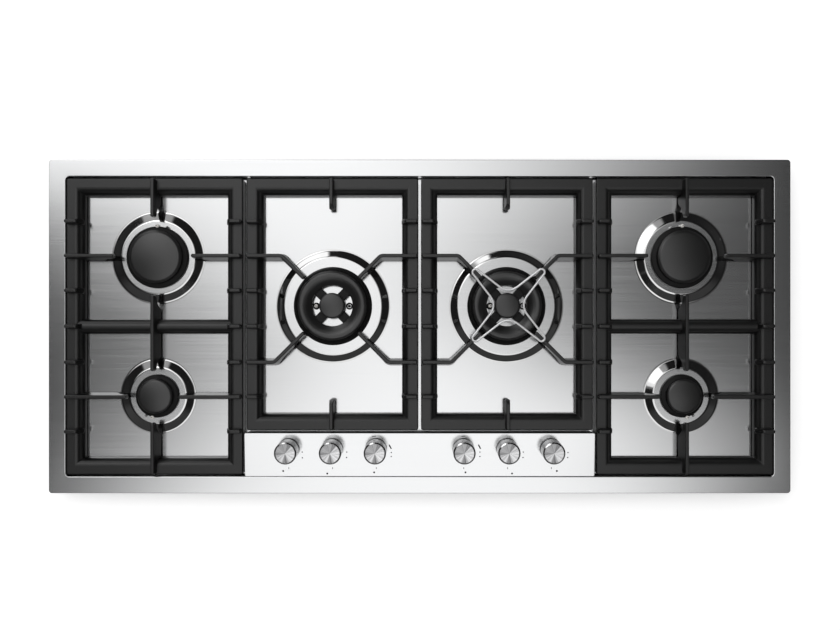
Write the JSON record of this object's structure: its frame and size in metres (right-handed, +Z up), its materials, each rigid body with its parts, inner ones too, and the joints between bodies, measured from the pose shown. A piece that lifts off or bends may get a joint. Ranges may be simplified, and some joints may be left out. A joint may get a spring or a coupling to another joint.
{
  "type": "gas hob",
  "caption": "Built-in gas hob: stainless steel well, cast iron pan supports, lift-off burners and a sloping panel of push-and-turn knobs.",
  "frame": {"origin": "middle of the tray's underside, on the level that the hob stands on when it is out of the worktop", "axes": "+X to the right as the cook sees it, +Y to the back, +Z up"},
  "size_m": [1.156, 0.52, 0.1016],
  "materials": {
    "steel": "bright brushed stainless steel",
    "zinc_plate": "plain zinc plated sheet",
    "foam": "soft sealing foam",
    "brass": "turned brass",
    "black_alloy": "black coated cast alloy",
    "enamel": "matt black vitreous enamel",
    "ceramic": "glazed white ceramic",
    "brushed_alloy": "radially brushed metal with a polished edge",
    "cast_iron": "matt black enamelled cast iron",
    "chrome": "plated steel wire"
  },
  "bodies": {
    "hob": {"hob_top": "steel", "control_panel": "steel", "bottom_tray": "zinc_plate", "worktop_seal": "foam", "gas_manifold": "brass", "burner_cup_left_rear": "black_alloy", "burner_cup_left_front": "black_alloy", "burner_cup_centre_left": "black_alloy", "burner_cup_centre_right": "black_alloy", "burner_cup_right_front": "black_alloy", "burner_cup_right_rear": "black_alloy", "electrodes_left_rear": "ceramic", "electrodes_left_front": "ceramic", "electrodes_centre_left": "ceramic", "electrodes_centre_right": "ceramic", "electrodes_right_front": "ceramic", "electrodes_right_rear": "ceramic", "tap_body_left_rear": "brass", "tap_body_left_front": "brass", "tap_body_centre_left": "brass", "tap_body_centre_right": "brass", "tap_body_right_front": "brass", "tap_body_right_rear": "brass"},
    "plug_left_rear": {"tap_plug_left_rear": "brass"},
    "plug_left_front": {"tap_plug_left_front": "brass"},
    "plug_centre_left": {"tap_plug_centre_left": "brass"},
    "plug_centre_right": {"tap_plug_centre_right": "brass"},
    "plug_right_front": {"tap_plug_right_front": "brass"},
    "plug_right_rear": {"tap_plug_right_rear": "brass"},
    "knob_and_spindle_left_rear": {"knob_left_rear": "brushed_alloy", "tap_spindle_left_rear": "brass"},
    "knob_and_spindle_left_front": {"knob_left_front": "brushed_alloy", "tap_spindle_left_front": "brass"},
    "knob_and_spindle_centre_left": {"knob_centre_left": "brushed_alloy", "tap_spindle_centre_left": "brass"},
    "knob_and_spindle_centre_right": {"knob_centre_right": "brushed_alloy", "tap_spindle_centre_right": "brass"},
    "knob_and_spindle_right_front": {"knob_right_front": "brushed_alloy", "tap_spindle_right_front": "brass"},
    "knob_and_spindle_right_rear": {"knob_right_rear": "brushed_alloy", "tap_spindle_right_rear": "brass"},
    "support_left": {"pan_support_left": "cast_iron"},
    "support_centre_left": {"pan_support_centre_left": "cast_iron"},
    "support_centre_right": {"pan_support_centre_right": "cast_iron"},
    "support_right": {"pan_support_right": "cast_iron"},
    "trivet": {"wire_trivet": "chrome"},
    "head_left_rear": {"burner_head_left_rear": "black_alloy"},
    "head_left_front": {"burner_head_left_front": "black_alloy"},
    "head_centre_left": {"burner_head_centre_left": "black_alloy"},
    "head_centre_right": {"burner_head_centre_right": "black_alloy"},
    "head_right_front": {"burner_head_right_front": "black_alloy"},
    "head_right_rear": {"burner_head_right_rear": "black_alloy"},
    "cap_left_rear": {"burner_cap_left_rear": "enamel"},
    "cap_left_front": {"burner_cap_left_front": "enamel"},
    "cap_centre_left": {"burner_cap_centre_left": "enamel"},
    "cap_centre_right": {"burner_cap_centre_right": "enamel"},
    "cap_right_front": {"burner_cap_right_front": "enamel"},
    "cap_right_rear": {"burner_cap_right_rear": "enamel"},
    "inner_cap_centre_left": {"centre_cap_centre_left": "enamel"},
    "inner_cap_centre_right": {"centre_cap_centre_right": "enamel"}
  },
  "joints": [
    {"name": "turn_left_rear", "type": "hinge", "parent": "hob", "child": "plug_left_rear", "pos_m": [-0.20431, -0.191, 0.0655], "axis": [0, -0.0785, 0.9969], "range_deg": [0, 210]},
    {"name": "turn_left_front", "type": "hinge", "parent": "hob", "child": "plug_left_front", "pos_m": [-0.1362, -0.191, 0.0655], "axis": [0, -0.0785, 0.9969], "range_deg": [0, 210]},
    {"name": "turn_centre_left", "type": "hinge", "parent": "hob", "child": "plug_centre_left", "pos_m": [-0.0681, -0.191, 0.0655], "axis": [0, -0.0785, 0.9969], "range_deg": [0, 210]},
    {"name": "turn_centre_right", "type": "hinge", "parent": "hob", "child": "plug_centre_right", "pos_m": [0.0681, -0.191, 0.0655], "axis": [0, -0.0785, 0.9969], "range_deg": [0, 210]},
    {"name": "turn_right_front", "type": "hinge", "parent": "hob", "child": "plug_right_front", "pos_m": [0.1362, -0.191, 0.0655], "axis": [0, -0.0785, 0.9969], "range_deg": [0, 210]},
    {"name": "turn_right_rear", "type": "hinge", "parent": "hob", "child": "plug_right_rear", "pos_m": [0.20431, -0.191, 0.0655], "axis": [0, -0.0785, 0.9969], "range_deg": [0, 210]},
    {"name": "push_left_rear", "type": "slide", "parent": "plug_left_rear", "child": "knob_and_spindle_left_rear", "axis": [0, 0.0785, -0.9969], "range_m": [0, 0.0028], "stiffness_N_per_m": 1500, "springref_m": -0.002},
    {"name": "push_left_front", "type": "slide", "parent": "plug_left_front", "child": "knob_and_spindle_left_front", "axis": [0, 0.0785, -0.9969], "range_m": [0, 0.0028], "stiffness_N_per_m": 1500, "springref_m": -0.002},
    {"name": "push_centre_left", "type": "slide", "parent": "plug_centre_left", "child": "knob_and_spindle_centre_left", "axis": [0, 0.0785, -0.9969], "range_m": [0, 0.0028], "stiffness_N_per_m": 1500, "springref_m": -0.002},
    {"name": "push_centre_right", "type": "slide", "parent": "plug_centre_right", "child": "knob_and_spindle_centre_right", "axis": [0, 0.0785, -0.9969], "range_m": [0, 0.0028], "stiffness_N_per_m": 1500, "springref_m": -0.002},
    {"name": "push_right_front", "type": "slide", "parent": "plug_right_front", "child": "knob_and_spindle_right_front", "axis": [0, 0.0785, -0.9969], "range_m": [0, 0.0028], "stiffness_N_per_m": 1500, "springref_m": -0.002},
    {"name": "push_right_rear", "type": "slide", "parent": "plug_right_rear", "child": "knob_and_spindle_right_rear", "axis": [0, 0.0785, -0.9969], "range_m": [0, 0.0028], "stiffness_N_per_m": 1500, "springref_m": -0.002},
    {"name": "lift_support_left", "type": "slide", "parent": "hob", "child": "support_left", "axis": [0, 0, 1], "range_m": [0, 0.08]},
    {"name": "lift_support_centre_left", "type": "slide", "parent": "hob", "child": "support_centre_left", "axis": [0, 0, 1], "range_m": [0, 0.08]},
    {"name": "lift_support_centre_right", "type": "slide", "parent": "hob", "child": "support_centre_right", "axis": [0, 0, 1], "range_m": [0, 0.08]},
    {"name": "lift_support_right", "type": "slide", "parent": "hob", "child": "support_right", "axis": [0, 0, 1], "range_m": [0, 0.08]},
    {"name": "lift_trivet", "type": "slide", "parent": "support_centre_right", "child": "trivet", "axis": [0, 0, 1], "range_m": [0, 0.09]},
    {"name": "lift_head_left_rear", "type": "slide", "parent": "hob", "child": "head_left_rear", "axis": [0, 0, 1], "range_m": [0, 0.05]},
    {"name": "lift_head_left_front", "type": "slide", "parent": "hob", "child": "head_left_front", "axis": [0, 0, 1], "range_m": [0, 0.05]},
    {"name": "lift_head_centre_left", "type": "slide", "parent": "hob", "child": "head_centre_left", "axis": [0, 0, 1], "range_m": [0, 0.05]},
    {"name": "lift_head_centre_right", "type": "slide", "parent": "hob", "child": "head_centre_right", "axis": [0, 0, 1], "range_m": [0, 0.05]},
    {"name": "lift_head_right_front", "type": "slide", "parent": "hob", "child": "head_right_front", "axis": [0, 0, 1], "range_m": [0, 0.05]},
    {"name": "lift_head_right_rear", "type": "slide", "parent": "hob", "child": "head_right_rear", "axis": [0, 0, 1], "range_m": [0, 0.05]},
    {"name": "lift_cap_left_rear", "type": "slide", "parent": "head_left_rear", "child": "cap_left_rear", "axis": [0, 0, 1], "range_m": [0, 0.03]},
    {"name": "lift_cap_left_front", "type": "slide", "parent": "head_left_front", "child": "cap_left_front", "axis": [0, 0, 1], "range_m": [0, 0.03]},
    {"name": "lift_cap_centre_left", "type": "slide", "parent": "head_centre_left", "child": "cap_centre_left", "axis": [0, 0, 1], "range_m": [0, 0.03]},
    {"name": "lift_cap_centre_right", "type": "slide", "parent": "head_centre_right", "child": "cap_centre_right", "axis": [0, 0, 1], "range_m": [0, 0.03]},
    {"name": "lift_cap_right_front", "type": "slide", "parent": "head_right_front", "child": "cap_right_front", "axis": [0, 0, 1], "range_m": [0, 0.03]},
    {"name": "lift_cap_right_rear", "type": "slide", "parent": "head_right_rear", "child": "cap_right_rear", "axis": [0, 0, 1], "range_m": [0, 0.03]},
    {"name": "lift_inner_cap_centre_left", "type": "slide", "parent": "head_centre_left", "child": "inner_cap_centre_left", "axis": [0, 0, 1], "range_m": [0, 0.03]},
    {"name": "lift_inner_cap_centre_right", "type": "slide", "parent": "head_centre_right", "child": "inner_cap_centre_right", "axis": [0, 0, 1], "range_m": [0, 0.03]}
  ],
  "couplings": [
    {"joint": "lift_head_centre_right", "follows": "lift_trivet", "ratio": 0.5},
    {"joint": "lift_cap_centre_right", "follows": "lift_trivet", "ratio": 0.2},
    {"joint": "lift_inner_cap_centre_right", "follows": "lift_trivet", "ratio": 0.2}
  ]
}
